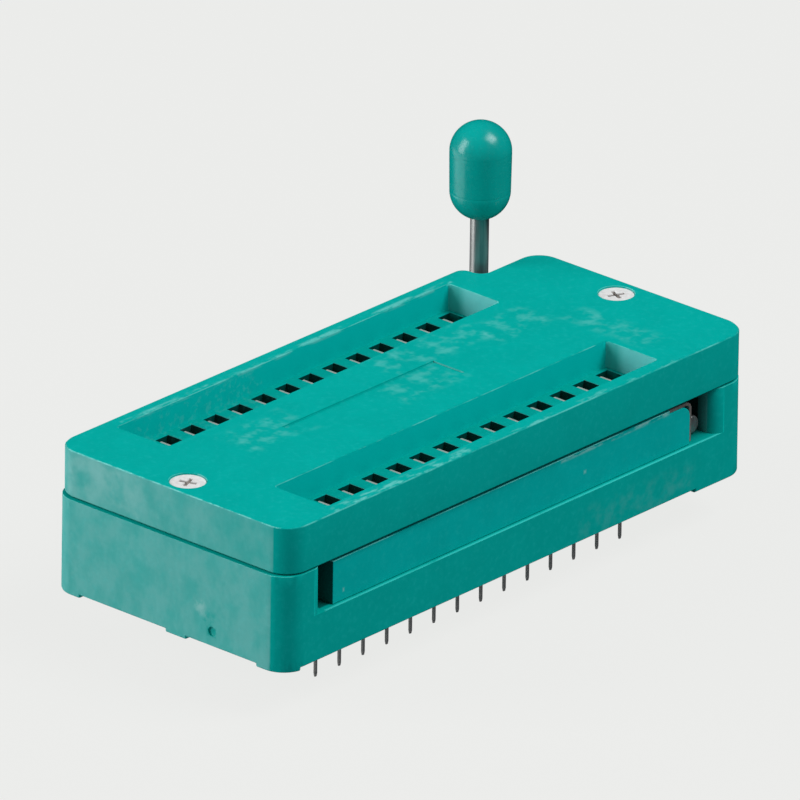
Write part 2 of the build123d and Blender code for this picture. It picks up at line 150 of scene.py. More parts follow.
class NodeBench:
    """Adds and joins the nodes of one material."""

    def __init__(self, name: str) -> None:
        """Starts an empty material.

        Args:
            name: Name of the material.
        """
        self.material = bpy.data.materials.new(name)
        self.material.use_nodes = True
        self.tree = self.material.node_tree
        self.tree.nodes.clear()
        self.places = self.tree.nodes.new("ShaderNodeTexCoord")

    def feed(self, node: bpy.types.Node, socket: str | int, value: object) -> None:
        """Links a socket into a node's input, or sets the input's own value.

        Args:
            node: Node that is fed.
            socket: Name or number of its input.
            value: Socket to link, or a plain value.
        """
        if isinstance(value, bpy.types.NodeSocket):
            self.tree.links.new(value, node.inputs[socket])
        else:
            node.inputs[socket].default_value = value

    def where(self, stretch: Place = (1.0, 1.0, 1.0), source: Coordinates = Coordinates.OBJECT) -> Socket:
        """Coordinates of the surface, in millimetres on an object.

        Args:
            stretch: Factor along each axis. A small one draws the pattern out along that axis.
            source: Object coordinates, or the piece's own UV map.

        Returns:
            The coordinates' socket.
        """
        unit = 1 / MM if source is Coordinates.OBJECT else 1.0
        mapping = self.tree.nodes.new("ShaderNodeMapping")
        self.feed(mapping, "Vector", self.places.outputs[source.value])
        self.feed(mapping, "Scale", tuple(unit * factor for factor in stretch))
        return mapping.outputs["Vector"]

    def noise(self, where: Socket, clouds: Clouds) -> Socket:
        """Cloudy noise from 0 to 1.

        Args:
            where: Coordinates in millimetres.
            clouds: Size and fineness of the clouds.

        Returns:
            The noise's socket.
        """
        node = self.tree.nodes.new("ShaderNodeTexNoise")
        self.feed(node, "Vector", where)
        self.feed(node, "Scale", clouds.per_mm)
        self.feed(node, "Detail", clouds.detail)
        self.feed(node, "Roughness", clouds.roughness)
        return node.outputs["Fac"]

    def step(self, value: Socket, low: float, high: float, to_low: float = 0.0,
             to_high: float = 1.0) -> Socket:
        """Smooth step of a value from one level to another.

        Args:
            value: What is stepped.
            low: Value where the step starts.
            high: Value where the step ends.
            to_low: Result at the start and before it.
            to_high: Result at the end and after it.

        Returns:
            The result's socket.
        """
        node = self.tree.nodes.new("ShaderNodeMapRange")
        node.interpolation_type = "SMOOTHSTEP"
        self.feed(node, "Value", value)
        limits = {"From Min": low, "From Max": high, "To Min": to_low, "To Max": to_high}
        for socket, limit in limits.items():
            self.feed(node, socket, limit)
        return node.outputs["Result"]

    def reckon(self, kind: str, first: Socket | float, second: Socket | float = 0.0) -> Socket:
        """One step of arithmetic.

        Args:
            kind: The step, as Blender names it.
            first: First value.
            second: Second value, where the step takes one.

        Returns:
            The result's socket.
        """
        node = self.tree.nodes.new("ShaderNodeMath")
        node.operation = kind
        self.feed(node, 0, first)
        self.feed(node, 1, second)
        return node.outputs["Value"]

    def blend(self, amount: Socket, first: Socket | Colour, second: Socket | Colour) -> Socket:
        """Mixes two colours.

        Args:
            amount: Share of the second colour, from 0 to 1.
            first: First colour.
            second: Second colour.

        Returns:
            The mixed colour's socket.
        """
        node = self.tree.nodes.new("ShaderNodeMix")
        node.data_type = "RGBA"
        self.feed(node, "Factor", amount)
        for socket, colour in zip(MIX_COLOURS, (first, second)):
            self.feed(node, socket, colour if isinstance(colour, bpy.types.NodeSocket) else (*colour, 1.0))
        return node.outputs[MIX_RESULT]

    def vector(self, kind: str, first: Socket, second: Place = (0.0, 0.0, 0.0)) -> Socket:
        """One step of vector arithmetic.

        Args:
            kind: The step, as Blender names it.
            first: First vector.
            second: Second vector, where the step takes one.

        Returns:
            The socket of the result, which is a number for a dot product.
        """
        node = self.tree.nodes.new("ShaderNodeVectorMath")
        node.operation = kind
        self.feed(node, 0, first)
        self.feed(node, 1, second)
        return node.outputs["Value" if kind == "DOT_PRODUCT" else "Vector"]

    def parts(self, vector: Socket) -> tuple[Socket, Socket, Socket]:
        """Takes a vector apart.

        Args:
            vector: Vector to take apart.

        Returns:
            The sockets of its three parts.
        """
        node = self.tree.nodes.new("ShaderNodeSeparateXYZ")
        self.feed(node, "Vector", vector)
        return node.outputs["X"], node.outputs["Y"], node.outputs["Z"]

    def product(self, *values: Socket | float) -> Socket:
        """Multiplies values together.

        Args:
            values: Sockets or plain numbers, of which the first is a socket.

        Returns:
            The product's socket.
        """
        result = values[0]
        for value in values[1:]:
            result = self.reckon("MULTIPLY", result, value)
        return result

    def slope(self) -> Socket:
        """Size of the upright part of the surface's normal: 1 on level faces and 0 on upright ones."""
        return self.reckon("ABSOLUTE", self.parts(self.places.outputs["Normal"])[2])

    def towards(self, direction: Place, low: float, high: float) -> Socket:
        """1 where the surface faces a direction, by the cosine of the angle between them."""
        return self.step(self.vector("DOT_PRODUCT", self.places.outputs["Normal"], direction), low, high)

    def beside(self, direction: Place, low: float, high: float) -> Socket:
        """1 on faces that aren't level and whose heading, seen from above, follows a direction.

        Args:
            direction: Level direction.
            low: Cosine between heading and direction where the mask starts.
            high: Cosine where the mask is full.

        Returns:
            The mask's socket.
        """
        level = self.vector("MULTIPLY", self.places.outputs["Normal"], (1.0, 1.0, 0.0))
        heading = self.vector("DOT_PRODUCT", self.vector("NORMALIZE", level), direction)
        return self.product(self.step(heading, low, high), self.step(self.slope(), *UPRIGHT_STEPS))

    def slanted(self) -> Socket:
        """1 on edges and chamfers that lie between level and upright faces."""
        slope = self.slope()
        return self.product(self.step(slope, *EDGE_START_STEPS), self.step(slope, *EDGE_END_STEPS))

    def box(self, where: Socket, low: Place, high: Place, soft: float) -> Socket:
        """1 inside a box and 0 outside it.

        The farthest of the three distances past the box's half sizes is stepped over a soft border.

        Args:
            where: Coordinates in millimetres.
            low: Least corner of the box.
            high: Greatest corner of the box.
            soft: Half width of the border.

        Returns:
            The mask's socket.
        """
        middle = tuple((a + b) / 2 for a, b in zip(low, high))
        half = tuple((b - a) / 2 for a, b in zip(low, high))
        offset = self.vector("ABSOLUTE", self.vector("SUBTRACT", where, middle))
        x, y, z = self.parts(self.vector("SUBTRACT", offset, half))
        farthest = self.reckon("MAXIMUM", self.reckon("MAXIMUM", x, y), z)
        return self.step(farthest, soft, -soft)

    def bump(self, height: Socket, depth_mm: float) -> Socket:
        """Fine relief of a given depth.

        Args:
            height: Relief from 0 to 1.
            depth_mm: Depth of the relief.

        Returns:
            The bent normal's socket.
        """
        node = self.tree.nodes.new("ShaderNodeBump")
        self.feed(node, "Height", height)
        self.feed(node, "Distance", depth_mm * MM)
        return node.outputs["Normal"]

    def surface(self, colour: Socket | Colour, roughness: Socket | float, normal: Socket,
                metallic: float = 0.0, specular: float = 0.5) -> bpy.types.Material:
        """Finishes the material with one shader.

        Args:
            colour: Base colour.
            roughness: Roughness of the surface.
            normal: Normal bent by the relief.
            metallic: 1 for bare metal and 0 for plastic.
            specular: Strength of the plain reflection.

        Returns:
            The finished material.
        """
        shader = self.tree.nodes.new("ShaderNodeBsdfPrincipled")
        self.feed(shader, "Base Color", colour)
        self.feed(shader, "Roughness", roughness)
        self.feed(shader, "Normal", normal)
        self.feed(shader, "Metallic", metallic)
        self.feed(shader, "Specular IOR Level", specular)
        output = self.tree.nodes.new("ShaderNodeOutputMaterial")
        self.feed(output, "Surface", shader.outputs["BSDF"])
        return self.material


@dataclass(frozen=True)
class Mark:
    """A patch of another colour: inside a box, on faces that look one way, broken up by clouds."""

    colour: Colour
    strength: float
    low: Place = (-FAR, -FAR, -FAR)
    high: Place = (FAR, FAR, FAR)
    soft: float = 0.03
    facing: Place | None = None
    facing_steps: Span = (0.6, 0.85)
    edges_only: bool = False
    grain_per_mm: float = 0.0
    grain_stretch: Place = (1.0, 1.0, 1.0)
    grain_steps: Span = (0.45, 0.6)
    grain_detail: float = 5.0
    grain_roughness: float = 0.6

    def lay(self, bench: NodeBench, colour: Socket) -> Socket:
        """Blends the mark over a colour.

        Args:
            bench: Bench of the material.
            colour: Colour under the mark.

        Returns:
            The marked colour.
        """
        masks = [bench.box(bench.where(), self.low, self.high, self.soft), self.strength]
        if self.facing is not None:
            masks.append(bench.towards(self.facing, *self.facing_steps))
        if self.edges_only:
            masks.append(bench.slanted())
        if self.grain_per_mm > 0.0:
            clouds = Clouds(self.grain_per_mm, self.grain_detail, self.grain_roughness)
            grain = bench.noise(bench.where(self.grain_stretch), clouds)
            masks.append(bench.step(grain, *self.grain_steps))
        return bench.blend(bench.product(*masks), colour, self.colour)


@dataclass(frozen=True)
class MouldedPlastic:
    """Matte moulded plastic with slow clouds, a painted grey sheen on its left faces, and marks of use and
    of painted light and shade.
    """

    name: str
    colour: Colour
    deep: Colour
    sheen: Colour = (0.50, 0.80, 0.79)
    sheen_range: Span = (0.15, 0.28)
    bloom: Colour = (0.02, 0.56, 0.52)
    bloom_share: float = 0.3
    roughness: float = 0.45
    specular: float = 0.015
    marks: tuple[Mark, ...] = ()
    slow_clouds: Clouds = Clouds(0.4, 5.0, 0.6)
    slow_steps: Span = (0.3, 0.7)
    fine_clouds: Clouds = Clouds(2.4, 4.0, 0.65)
    fine_steps: Span = (0.45, 0.8)
    mottle: Clouds = Clouds(0.6, 4.0, 0.6)
    mottle_stretch: Place = (1.0, 1.0, 0.8)
    rough_steps: Span = (0.3, 0.75)
    smoother: float = 0.05
    rougher: float = 0.08
    grain: Clouds = Clouds(9.0)
    grain_mm: float = 0.004

    def make(self) -> bpy.types.Material:
        """Builds the material.

        Returns:
            The finished material.
        """
        bench = NodeBench(self.name)
        where = bench.where()
        slow = bench.noise(where, self.slow_clouds)
        fine = bench.noise(where, self.fine_clouds)
        colour = bench.blend(bench.step(slow, *self.slow_steps), self.deep, self.colour)
        bloom = bench.product(bench.step(fine, *self.fine_steps), self.bloom_share)
        colour = bench.blend(bloom, colour, self.bloom)
        # Painted sheen: a grey reflection painted on the faces that look left, mottled by clouds.
        mottle = bench.noise(bench.where(self.mottle_stretch), self.mottle)
        sheen = bench.step(mottle, *self.slow_steps, *self.sheen_range)
        colour = bench.blend(bench.product(bench.beside(SHEEN_SIDE, *SHEEN_STEPS), sheen), colour, self.sheen)
        for mark in self.marks:
            colour = mark.lay(bench, colour)
        least = self.roughness - self.smoother
        rough = bench.step(fine, *self.rough_steps, least, self.roughness + self.rougher)
        normal = bench.bump(bench.noise(where, self.grain), self.grain_mm)
        return bench.surface(colour, rough, normal, specular=self.specular)


@dataclass(frozen=True)
class Metal:
    """Drawn, rolled or plated metal with streaks, and marks of use and of painted light and shade."""

    name: str
    light: Colour
    dark: Colour
    stretch: Place
    streaks: Clouds
    roughness: float
    metallic: float
    source: Coordinates = Coordinates.OBJECT
    marks: tuple[Mark, ...] = ()
    streak_steps: Span = (0.3, 0.7)
    rough_steps: Span = (0.25, 0.75)
    smoother: float = 0.06
    rougher: float = 0.1
    relief_mm: float = 0.006

    def make(self) -> bpy.types.Material:
        """Builds the material.

        Returns:
            The finished material.
        """
        bench = NodeBench(self.name)
        streak = bench.noise(bench.where(self.stretch, self.source), self.streaks)
        colour = bench.blend(bench.step(streak, *self.streak_steps), self.dark, self.light)
        for mark in self.marks:
            colour = mark.lay(bench, colour)
        least = self.roughness - self.smoother
        rough = bench.step(streak, *self.rough_steps, least, self.roughness + self.rougher)
        return bench.surface(colour, rough, bench.bump(streak, self.relief_mm), self.metallic)


# Colours of the mouldings, of their wear, and of the light and shade painted on them.
GREEN: Colour = (0.0, 0.432, 0.378)
DEEP_GREEN: Colour = (0.0, 0.407, 0.356)
SLIDE_GREEN: Colour = (0.0, 0.47, 0.44)
DEEP_SLIDE_GREEN: Colour = (0.0, 0.44, 0.41)
KNOB_GREEN: Colour = (0.0, 0.42, 0.375)
DEEP_KNOB_GREEN: Colour = (0.0, 0.40, 0.355)
# Painted shade.
WELL_SHADE: Colour = (0.0, 0.065, 0.055)
SLIDE_END_SHADE: Colour = (0.0, 0.09, 0.08)
SLIDE_TOP_SHADE: Colour = (0.0, 0.20, 0.18)
SHADE: Colour = (0.0, 0.30, 0.27)
# Darker green of the pit on the left end.
PIT: Colour = (0.0, 0.36, 0.31)
# Painted bounce light, painted sheen and painted highlights.
TROUGH_BOUNCE_LIGHT: Colour = (0.0, 0.62, 0.59)
TROUGH_END_SHEEN: Colour = (0.26, 0.92, 0.94)
TROUGH_CORNER_HIGHLIGHT: Colour = (0.45, 0.88, 0.84)
LEDGE_HIGHLIGHT: Colour = (0.05, 0.70, 0.64)
EDGE_HIGHLIGHT: Colour = (0.22, 0.86, 0.80)
# Wear and scuffs; on worn edges and on the left end they also paint highlight and sheen.
RUBBED: Colour = (0.09, 0.48, 0.45)
WEAR_AND_HIGHLIGHT: Colour = (0.16, 0.74, 0.68)
PALE: Colour = (0.22, 0.72, 0.67)
CHALK: Colour = (0.50, 0.80, 0.76)
# Stretch of clouds that run along the rows.
ALONG: Place = (0.35, 1.0, 1.0)

# Scuffed patches of the cover's top, as boxes from above.
TOP_SCUFFS = (
    ((-14.5, 0.2), (-8.5, 3.4)),
    ((2.5, 1.7), (12.5, 4.8)),
    ((-0.5, -1.9), (5.5, 0.9)),
    ((12.0, 0.4), (17.6, 3.4)),
    ((18.6, -7.6), (20.6, -0.4)),
)
# Shaded rear parts of the troughs' end walls, as spans across the socket.
WALL_SHADES = ((-6.4, -4.9), (8.9, 10.4))
COVER_MARKS = (
    # Painted shade inside the slots and on the underside.
    Mark(WELL_SHADE, 1.0, (-20.3, -10.3, 0.0), (22.9, 10.3, 9.03), 0.01),
    # Painted bounce light on the rear walls of the troughs, and painted sheen on their right end walls.
    Mark(TROUGH_BOUNCE_LIGHT, 0.75, (-18.4, -10.2, 9.0), (17.5, 10.2, 11.1), facing=FRONT),
    Mark(TROUGH_END_SHEEN, 0.45, (17.3, -10.2, 9.1), (17.6, 10.2, 11.1), facing=LEFT),
) + tuple(
    Mark(GREEN, 0.8, (17.2, low, 8.9), (17.8, high, 11.3), 0.7, LEFT) for low, high in WALL_SHADES
) + (
    # Painted highlight on the corner of the rear trough, and painted shade under the cover's lip.
    Mark(TROUGH_CORNER_HIGHLIGHT, 0.8, (17.42, 10.0, 9.1), (17.6, 10.3, 11.15), 0.03, FRONT),
    Mark(SHADE, 0.7, (-FAR, -FAR, 7.3), (FAR, FAR, 7.72), facing=DOWN, facing_steps=(0.3, 0.5)),
    # Worn upper edges with a painted highlight, most of all at the left end.
    Mark(WEAR_AND_HIGHLIGHT, 0.6, (-FAR, -FAR, 11.0), edges_only=True, grain_per_mm=1.3, grain_stretch=ALONG,
         grain_steps=(0.4, 0.62)),
    Mark(PALE, 0.9, (-24.0, -FAR, 11.0), (-22.9, FAR, 11.3), edges_only=True, grain_per_mm=1.2,
         grain_steps=(0.45, 0.6)),
    # Scratches on the front rim, left and right, on the rear rim and in the rear trough.
    Mark(PALE, 0.7, (-18.5, -11.4, 11.0), (-4.0, -10.6, 11.3), 0.25, UP, grain_per_mm=1.6,
         grain_stretch=ALONG, grain_steps=(0.46, 0.62), grain_detail=3.0),
    Mark(PALE, 0.5, (-5.0, -11.5, 11.0), (18.0, -10.9, 11.3), 0.2, UP, grain_per_mm=1.4,
         grain_stretch=ALONG, grain_steps=(0.5, 0.66), grain_detail=3.0),
    Mark(PALE, 0.5, (-17.5, 10.0, 11.0), (17.8, 10.5, 11.3), 0.12, grain_per_mm=1.1,
         grain_stretch=ALONG, grain_steps=(0.46, 0.62), grain_detail=3.0),
    Mark(PALE, 0.22, (-16.0, 5.6, 9.0), (-3.0, 10.3, 10.9), 0.8, grain_per_mm=1.8,
         grain_steps=(0.48, 0.72), grain_detail=3.0),
    # Left end: the painted sheen held back towards the front, and paler towards the back.
    Mark(GREEN, 0.35, (-24.2, -10.5, 7.6), (-23.0, -5.0, 11.3), 2.5, LEFT),
    Mark(CHALK, 0.35, (-24.0, 3.0, 7.7), (-23.0, 11.0, 11.1), 1.2, LEFT, (0.9, 0.97), grain_per_mm=0.5,
         grain_steps=(0.3, 0.7), grain_detail=3.0),
) + tuple(
    Mark(PALE, 0.42, (*low, 11.0), (*high, 11.3), 0.9, UP, grain_per_mm=0.8, grain_steps=(0.44, 0.74),
         grain_detail=2.0)
    for low, high in TOP_SCUFFS
)
BASE_MARKS = (
    # Painted shade in the well between the end blocks, and at its right end, darker away from the window.
    Mark(WELL_SHADE, 1.0, (-19.6, -10.7, 3.75), (20.3, 11.0, 7.6), 0.15),
    Mark(WELL_SHADE, 0.95, (18.0, -10.25, 2.4), (24.9, 8.0, 9.0), 1.05),
    # Painted highlight on the ledge under the slide: its edge and its top.
    Mark(EDGE_HIGHLIGHT, 0.75, (-19.8, -FAR, 3.68), (22.9, FAR, 3.9), 0.1, edges_only=True, grain_per_mm=0.9,
         grain_stretch=ALONG, grain_steps=(0.2, 0.45)),
    Mark(LEDGE_HIGHLIGHT, 0.85, (-19.6, -11.6, 3.7), (23.4, -11.15, 3.95), 0.08, UP, grain_per_mm=0.9,
         grain_stretch=ALONG, grain_steps=(0.2, 0.45)),
    # Worn edges with a painted highlight at the seam and along the bottom.
    Mark(WEAR_AND_HIGHLIGHT, 0.55, (-FAR, -FAR, 7.36), edges_only=True, grain_per_mm=0.9, grain_steps=(0.4, 0.65)),
    Mark(WEAR_AND_HIGHLIGHT, 0.6, high=(FAR, FAR, 0.42), edges_only=True, grain_per_mm=0.9, grain_steps=(0.4, 0.62)),
    # Left end: a stained spot, the pit under it and a chalky spot.
    Mark(DEEP_GREEN, 0.6, (-24.2, -4.6, 1.5), (-23.2, -3.4, 2.8), 0.35, LEFT, grain_per_mm=1.3,
         grain_steps=(0.42, 0.6), grain_detail=3.0),
    Mark(PIT, 0.8, (-24.2, -4.6, 1.05), (-23.2, -3.85, 1.65), 0.2),
    Mark(CHALK, 0.4, (-24.2, -3.6, 2.5), (-23.2, -2.6, 3.5), 0.4, LEFT, grain_per_mm=1.1,
         grain_steps=(0.35, 0.62), grain_detail=3.0),
    # Rubbed right half of the front.
    Mark(RUBBED, 0.5, (8.0, -11.6, 0.3), (20.0, -11.0, 2.4), 0.8, FRONT, grain_per_mm=0.7,
         grain_steps=(0.4, 0.7), grain_detail=4.0),
)
SLIDE_MARKS = (
    # Painted shade on the left end and the top, which stand in the dark.
    Mark(SLIDE_END_SHADE, 1.0, high=(-18.4, FAR, FAR), facing=LEFT),
    Mark(SLIDE_TOP_SHADE, 0.9, (-FAR, -10.4, 6.8), (FAR, 10.4, FAR), 0.2, UP),
    # Painted highlight along the upper edge, its chalky right half, and two nicks in the front.
    Mark(EDGE_HIGHLIGHT, 0.8, (-FAR, -FAR, 7.05), edges_only=True, grain_per_mm=0.8, grain_stretch=ALONG,
         grain_steps=(0.35, 0.6)),
    Mark(CHALK, 0.5, (6.0, -11.3, 6.95), (18.2, -10.6, 7.3), 0.15, FRONT, grain_per_mm=1.7,
         grain_stretch=ALONG, grain_steps=(0.43, 0.62), grain_detail=3.0),
    Mark(CHALK, 0.45, (8.52, -11.3, 5.32), (8.68, -10.6, 5.48), 0.14),
    Mark(CHALK, 0.45, (-17.44, -11.3, 4.55), (-17.36, -10.6, 4.75), 0.12),
)
ROD_MARKS = (
    # Painted highlight along the rod's left side.
    Mark((0.62, 0.62, 0.61), 0.75, facing=ROD_HIGHLIGHT_SIDE, facing_steps=(0.78, 0.92)),
)
SCREW_MARKS = (
    # Brown-grey in the cross, and painted shade on one side of its walls and of the rim.
    Mark((0.34, 0.29, 0.26), 0.85, high=(FAR, FAR, 10.97), soft=0.06),
    Mark((0.05, 0.07, 0.065), 0.85, facing=HEAD_SHADE_SIDE, facing_steps=(0.3, 0.6)),
)
CONTACT_MARKS = (
    # Tails, which are duller than the tines.
    Mark((0.42, 0.39, 0.37), 1.0, high=(FAR, FAR, 0.3), soft=0.2),
)

BASE_PLASTIC = MouldedPlastic("green_base", GREEN, DEEP_GREEN, marks=BASE_MARKS)
COVER_PLASTIC = MouldedPlastic("green_cover", GREEN, DEEP_GREEN, marks=COVER_MARKS)
SLIDE_PLASTIC = MouldedPlastic("green_slide", SLIDE_GREEN, DEEP_SLIDE_GREEN, marks=SLIDE_MARKS)
KNOB_PLASTIC = MouldedPlastic(
    "green_knob", KNOB_GREEN, DEEP_KNOB_GREEN, sheen_range=(0.0, 0.0), bloom_share=0.0, roughness=0.24,
    specular=0.42,
)
ROD_STEEL = Metal(
    "drawn_rod", light=(0.35, 0.355, 0.36), dark=(0.20, 0.205, 0.21), stretch=(0.05, 1.2, 1.0),
    streaks=Clouds(4.0, 5.0, 0.65), roughness=0.34, metallic=0.7, source=Coordinates.UV, marks=ROD_MARKS,
)
PLATE_STEEL = Metal(
    "rolled_plate", light=(0.34, 0.31, 0.29), dark=(0.20, 0.18, 0.17), stretch=(1.0, 0.08, 1.0),
    streaks=Clouds(5.0, 5.0, 0.65), roughness=0.45, metallic=0.4,
)
SCREW_STEEL = Metal(
    "plated_screw", light=(1.0, 0.99, 0.97), dark=(0.88, 0.86, 0.84), stretch=(1.0, 1.0, 1.0),
    streaks=Clouds(3.0, 5.0, 0.65), roughness=0.40, metallic=0.06, marks=SCREW_MARKS,
)
CONTACT_STRIP = Metal(
    "plated_strip", light=(0.72, 0.68, 0.64), dark=(0.58, 0.54, 0.50), stretch=(1.0, 1.0, 0.15),
    streaks=Clouds(6.0, 5.0, 0.65), roughness=0.40, metallic=0.3, marks=CONTACT_MARKS,
)


def grid_quads(rows: int, columns: int, first: int) -> np.ndarray:
    """Quads of a grid that closes on itself along its columns.

    Quad (r, c) joins points (r, c), (r, c+1), (r+1, c+1) and (r+1, c), counted round the columns.

    Args:
        rows: Rings of the grid.
        columns: Points of a ring.
        first: Number of the grid's first point in its mesh.

    Returns:
        An array of four point numbers for each quad.
    """
    row, column = np.meshgrid(np.arange(rows - 1), np.arange(columns), indexing="ij")
    after = (column + 1) % columns
    here = row * columns
    above = here + columns
    corners = [here + column, here + after, above + after, above + column]
    return first + np.stack(corners, axis=-1).reshape(-1, 4)


def place_piece(name: str, mesh: bpy.types.Mesh, finish: bpy.types.Material, body: Body) -> bpy.types.Object:
    """Puts a finished mesh into the scene.

    Args:
        name: Name of the piece.
        mesh: Its mesh, in metres in the CAD frame.
        finish: Its material.
        body: The CAD body that it rides on.

    Returns:
        The new object.
    """
    mesh.materials.clear()
    mesh.materials.append(finish)
    piece = bpy.data.objects.new(name, mesh)
    bpy.context.scene.collection.objects.link(piece)
    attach(piece, body.value)
    LOG.info("%s: %d faces", name, len(mesh.polygons))
    return piece


def ring_mesh(name: str, grids: list[np.ndarray], sharp_deg: float) -> bpy.types.Mesh:
    """Closed mesh from grids of rings, each capped at its two ends.

    Args:
        name: Name of the mesh.
        grids: Arrays of rings, points and coordinates, in millimetres.
        sharp_deg: Edges that bend by more than this angle stay sharp.

    Returns:
        The mesh in metres, with a UV map of millimetres along the rings' path and round it.
    """
    points = np.concatenate([grid.reshape(-1, 3) for grid in grids]) * MM
    faces: list[list[int]] = []
    first = 0
    for grid in grids:
        rows, columns = grid.shape[:2]
        faces += grid_quads(rows, columns, first).tolist()
        faces.append((first + np.arange(columns)[::-1]).tolist())
        faces.append((first + (rows - 1) * columns + np.arange(columns)).tolist())
        first += rows * columns
    mesh = bpy.data.meshes.new(name)
    mesh.from_pydata(points.tolist(), [], faces)
    add_path_map(mesh, grids)
    tidy_mesh(mesh, sharp_deg)
    return mesh


def add_path_map(mesh: bpy.types.Mesh, grids: list[np.ndarray]) -> None:
    """Adds a UV map to a ring mesh: millimetres along the path, and millimetres round its middle ring.

    The second one runs half way round and back again, so that the map has no seam.

    Args:
        mesh: Mesh whose points are the grids' points in order.
        grids: The grids that it was made from.
    """
    along = []
    around = []
    for grid in grids:
        rows, columns = grid.shape[:2]
        middles = grid.mean(axis=1)
        run = np.concatenate([[0.0], np.cumsum(np.linalg.norm(np.diff(middles, axis=0), axis=1))])
        girth = np.linalg.norm(np.diff(grid[rows // 2], axis=0), axis=1).sum()
        share = 2 * np.abs(np.arange(columns) / columns - 0.5)
        along.append(np.repeat(run, columns))
        around.append(np.tile(share * girth / 2, rows))
    corner = np.empty(len(mesh.loops), np.int32)
    mesh.loops.foreach_get("vertex_index", corner)
    flat = np.stack([np.concatenate(along)[corner], np.concatenate(around)[corner]], axis=-1)
    mesh.uv_layers.new(name="path").data.foreach_set("uv", flat.astype(np.float32).ravel())


def tidy_mesh(mesh: bpy.types.Mesh, sharp_deg: float) -> None:
    """Closes seams and poles, turns faces outwards and shades smoothly up to an angle.

    Args:
        mesh: Mesh to finish.
        sharp_deg: Edges that bend by more than this angle stay sharp.
    """
    work = bmesh.new()
    work.from_mesh(mesh)
    bmesh.ops.remove_doubles(work, verts=work.verts, dist=MERGE_MM * MM)
    bmesh.ops.recalc_face_normals(work, faces=work.faces)
    work.to_mesh(mesh)
    work.free()
    mesh.shade_smooth()
    mesh.set_sharp_from_angle(angle=math.radians(sharp_deg))


def moulding_copy(node: str) -> bpy.types.Mesh:
    """Copies a CAD node's mesh, merges its loose triangles and joins the ones that lie flat.

    Args:
        node: Name of the CAD node.

    Returns:
        A clean mesh of the same shape.
    """
    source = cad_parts[node].data
    points = np.empty(len(source.vertices) * 3, np.float32)
    source.vertices.foreach_get("co", points)
    corners = np.empty(len(source.loops), np.int32)
    source.loops.foreach_get("vertex_index", corners)
    keys = np.round(points.reshape(-1, 3) / (MERGE_MM * MM)).astype(np.int64)
    _, kept, number = np.unique(keys, axis=0, return_index=True, return_inverse=True)
    triangles = number.reshape(-1)[corners].reshape(-1, 3)
    whole = (triangles != np.roll(triangles, 1, axis=1)).all(axis=1)
    mesh = bpy.data.meshes.new(node + "_moulding")
    mesh.from_pydata(points.reshape(-1, 3)[kept].tolist(), [], triangles[whole].tolist())
    work = bmesh.new()
    work.from_mesh(mesh)
    bmesh.ops.dissolve_limit(work, angle_limit=FLAT_ANGLE, verts=work.verts, edges=work.edges)
    work.to_mesh(mesh)
    work.free()
    mesh.shade_smooth()
    return mesh


def weigh_edges(mesh: bpy.types.Mesh, widths: EdgeWidths, widest_mm: float) -> None:
    """Gives each sharp edge its share of the widest rounding. Edges that get none stay sharp.

    Args:
        mesh: Mesh to prepare for a bevel.
        widths: Gives the rounding's width for edges by the places of their middles, in millimetres.
        widest_mm: Width of the rounding at full weight.
    """
    mesh.set_sharp_from_angle(angle=SHARP_ANGLE)
    count = len(mesh.edges)
    sharp = np.zeros(count, bool)
    mesh.attributes["sharp_edge"].data.foreach_get("value", sharp)
    ends = np.empty(count * 2, np.int32)
    mesh.edges.foreach_get("vertices", ends)
    points = np.empty(len(mesh.vertices) * 3, np.float32)
    mesh.vertices.foreach_get("co", points)
    middle = points.reshape(-1, 3)[ends.reshape(-1, 2)].mean(axis=1) / MM
    width = np.where(sharp, widths(middle), 0.0)
    weight = mesh.attributes.new("bevel_weight_edge", "FLOAT", "EDGE")
    weight.data.foreach_set("value", (width / widest_mm).astype(np.float32))
    mesh.attributes["sharp_edge"].data.foreach_set("value", sharp & (width == 0.0))


def soften(piece: bpy.types.Object, widths: EdgeWidths, widest_mm: float) -> None:
    """Rounds a piece's sharp edges and keeps its flat faces flat.

    Args:
        piece: Piece to finish.
        widths: Gives the rounding's width for edges by the places of their middles, in millimetres.
        widest_mm: Width of the widest rounding.
    """
    weigh_edges(piece.data, widths, widest_mm)
    bevel = piece.modifiers.new("worn edges", "BEVEL")
    bevel.width = widest_mm * MM
    bevel.segments = EDGE_SEGMENTS
    bevel.limit_method = "WEIGHT"
    bevel.use_clamp_overlap = False
    bevel.miter_outer = "MITER_SHARP"
    weighted = piece.modifiers.new("flat faces", "WEIGHTED_NORMAL")
    weighted.weight = LARGEST_FACE_ONLY
    weighted.keep_sharp = True


